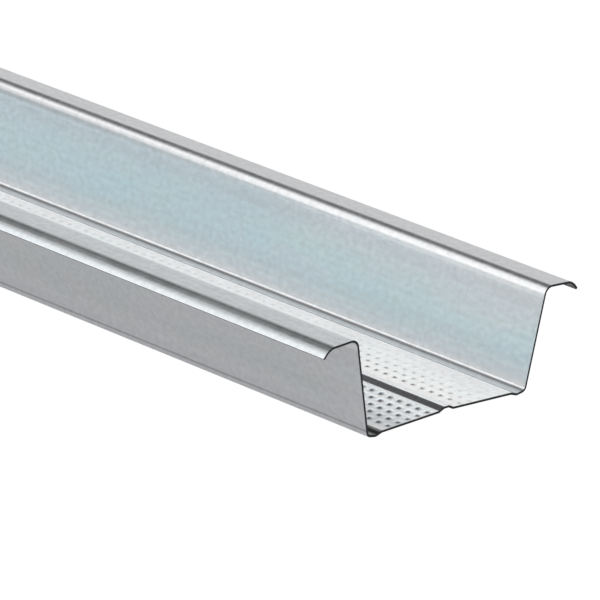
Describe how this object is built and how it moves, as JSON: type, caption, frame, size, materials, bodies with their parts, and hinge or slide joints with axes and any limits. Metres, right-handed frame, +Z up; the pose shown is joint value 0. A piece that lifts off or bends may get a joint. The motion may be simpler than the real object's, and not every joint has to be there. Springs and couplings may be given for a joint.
{
  "type": "hat channel",
  "caption": "Long thin-walled hat channel of roll-formed galvanised strip: wide crown with a low middle rib and foot beads, leaning webs, and flanges with turned-down lips.",
  "frame": {"origin": "under the middle of the length, midway between the webs, on the floor that the foot beads stand on", "axes": "+X along the channel, +Z up from the crown to the flanges, +Y across"},
  "size_m": [3.6, 0.08, 0.0245],
  "materials": {
    "galvanised_steel": "bright zinc coating, as rolled, with a faint mottle and sheared bare edges"
  },
  "bodies": {
    "root": {"channel": "galvanised_steel"}
  },
  "joints": []
}
